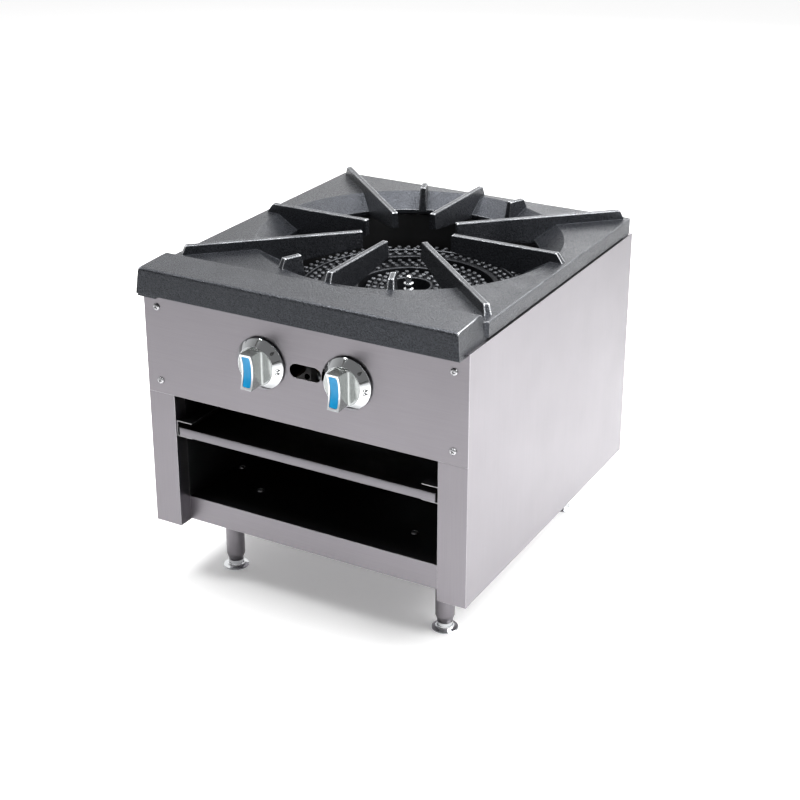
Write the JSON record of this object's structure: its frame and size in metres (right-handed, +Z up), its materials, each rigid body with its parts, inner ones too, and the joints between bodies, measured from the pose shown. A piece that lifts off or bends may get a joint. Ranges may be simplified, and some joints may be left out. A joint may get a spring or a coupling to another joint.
{
  "type": "gas hotplate",
  "caption": "Low stainless steel gas stove for a stock pot: cast iron top with radial fins over ring burners, two knobs, drip tray, storage bay and screw feet.",
  "frame": {"origin": "on the floor, under the middle of the whole object's box", "axes": "+Z up, -Y towards the cook and the knobs, +X to the cook's right"},
  "size_m": [0.457, 0.544, 0.454],
  "materials": {
    "stainless": "brushed stainless steel sheet, slightly dull",
    "stainless_side": "bright brushed stainless steel sheet of the right side",
    "black_sheet": "black enamelled sheet",
    "cast_iron": "dark grey cast iron with a sandy skin",
    "burner_iron": "near black cast iron",
    "dark_steel": "dark heat proof paint",
    "tray_steel": "plain rolled steel sheet",
    "chrome": "polished chrome plate",
    "screw_steel": "zinc plated steel",
    "knob_grey": "silver grey plastic",
    "knob_blue": "light blue plastic",
    "brass": "machined brass",
    "valve_metal": "die cast valve body",
    "pipe_iron": "black iron pipe",
    "bracket_steel": "zinc plated sheet steel",
    "tube_alloy": "soft aluminium tube"
  },
  "bodies": {
    "frame": {"left_side_panel": "stainless", "right_side_panel": "stainless_side", "left_liner": "black_sheet", "right_liner": "black_sheet", "back_panel": "bracket_steel", "control_panel": "stainless", "bottom_shelf": "stainless", "shelf_liner": "black_sheet", "panel_screws": "screw_steel", "back_screws": "screw_steel", "left_tray_rail": "black_sheet", "right_tray_rail": "black_sheet", "burner_shield": "black_sheet", "front_support_bar": "dark_steel", "rear_support_bar": "dark_steel", "support_screws": "screw_steel", "outer_burner_ring": "burner_iron", "centre_burner_rings": "burner_iron", "outer_mixing_tube": "burner_iron", "centre_mixing_tube": "burner_iron", "outer_orifice": "brass", "centre_orifice": "brass", "left_valve": "valve_metal", "right_valve": "valve_metal", "manifold_pipe": "pipe_iron", "manifold_cap": "pipe_iron", "manifold_brackets": "bracket_steel", "supply_elbows": "pipe_iron", "supply_riser": "pipe_iron", "supply_pipe": "pipe_iron", "pilot_burner": "chrome", "pilot_bracket": "bracket_steel", "pilot_tube": "tube_alloy", "pilot_valve": "brass", "outer_pilot_burner": "chrome", "outer_pilot_tube": "tube_alloy", "leg_front_left": "stainless", "leg_front_right": "stainless", "leg_rear_left": "stainless", "leg_rear_right": "stainless", "leg_bolts": "screw_steel", "leg_nuts": "screw_steel"},
    "grate": {"top_grate": "cast_iron"},
    "tray": {"drip_tray": "tray_steel"},
    "left_knob": {"left_knob_skirt": "chrome", "left_knob_grip": "knob_grey", "left_knob_insert": "knob_blue", "left_valve_stem": "valve_metal"},
    "right_knob": {"right_knob_skirt": "chrome", "right_knob_grip": "knob_grey", "right_knob_insert": "knob_blue", "right_valve_stem": "valve_metal"},
    "outer_shutter": {"outer_air_shutter": "screw_steel"},
    "centre_shutter": {"centre_air_shutter": "screw_steel"},
    "front_left_foot": {"foot_front_left": "chrome"},
    "front_right_foot": {"foot_front_right": "chrome"},
    "rear_left_foot": {"foot_rear_left": "chrome"},
    "rear_right_foot": {"foot_rear_right": "chrome"}
  },
  "joints": [
    {"name": "left_knob_turn", "type": "hinge", "parent": "frame", "child": "left_knob", "pos_m": [-0.054, -0.257, 0.3505], "axis": [0, -1, 0], "range_deg": [0, 90]},
    {"name": "right_knob_turn", "type": "hinge", "parent": "frame", "child": "right_knob", "pos_m": [0.068, -0.257, 0.3505], "axis": [0, -1, 0], "range_deg": [0, 90]},
    {"name": "tray_slide", "type": "slide", "parent": "frame", "child": "tray", "axis": [0, -1, 0], "range_m": [0, 0.38]},
    {"name": "grate_lift", "type": "slide", "parent": "frame", "child": "grate", "axis": [0, 0, 1], "range_m": [0, 0.1]},
    {"name": "outer_shutter_turn", "type": "hinge", "parent": "frame", "child": "outer_shutter", "pos_m": [-0.054, -0.149, 0.312], "axis": [0, -1, 0], "range_deg": [-40, 40]},
    {"name": "centre_shutter_turn", "type": "hinge", "parent": "frame", "child": "centre_shutter", "pos_m": [0.068, -0.149, 0.312], "axis": [0, -1, 0], "range_deg": [-40, 40]},
    {"name": "front_left_foot_screw", "type": "slide", "parent": "frame", "child": "front_left_foot", "axis": [0, 0, -1], "range_m": [0, 0.025]},
    {"name": "front_right_foot_screw", "type": "slide", "parent": "frame", "child": "front_right_foot", "axis": [0, 0, -1], "range_m": [0, 0.025]},
    {"name": "rear_left_foot_screw", "type": "slide", "parent": "frame", "child": "rear_left_foot", "axis": [0, 0, -1], "range_m": [0, 0.025]},
    {"name": "rear_right_foot_screw", "type": "slide", "parent": "frame", "child": "rear_right_foot", "axis": [0, 0, -1], "range_m": [0, 0.025]}
  ]
}
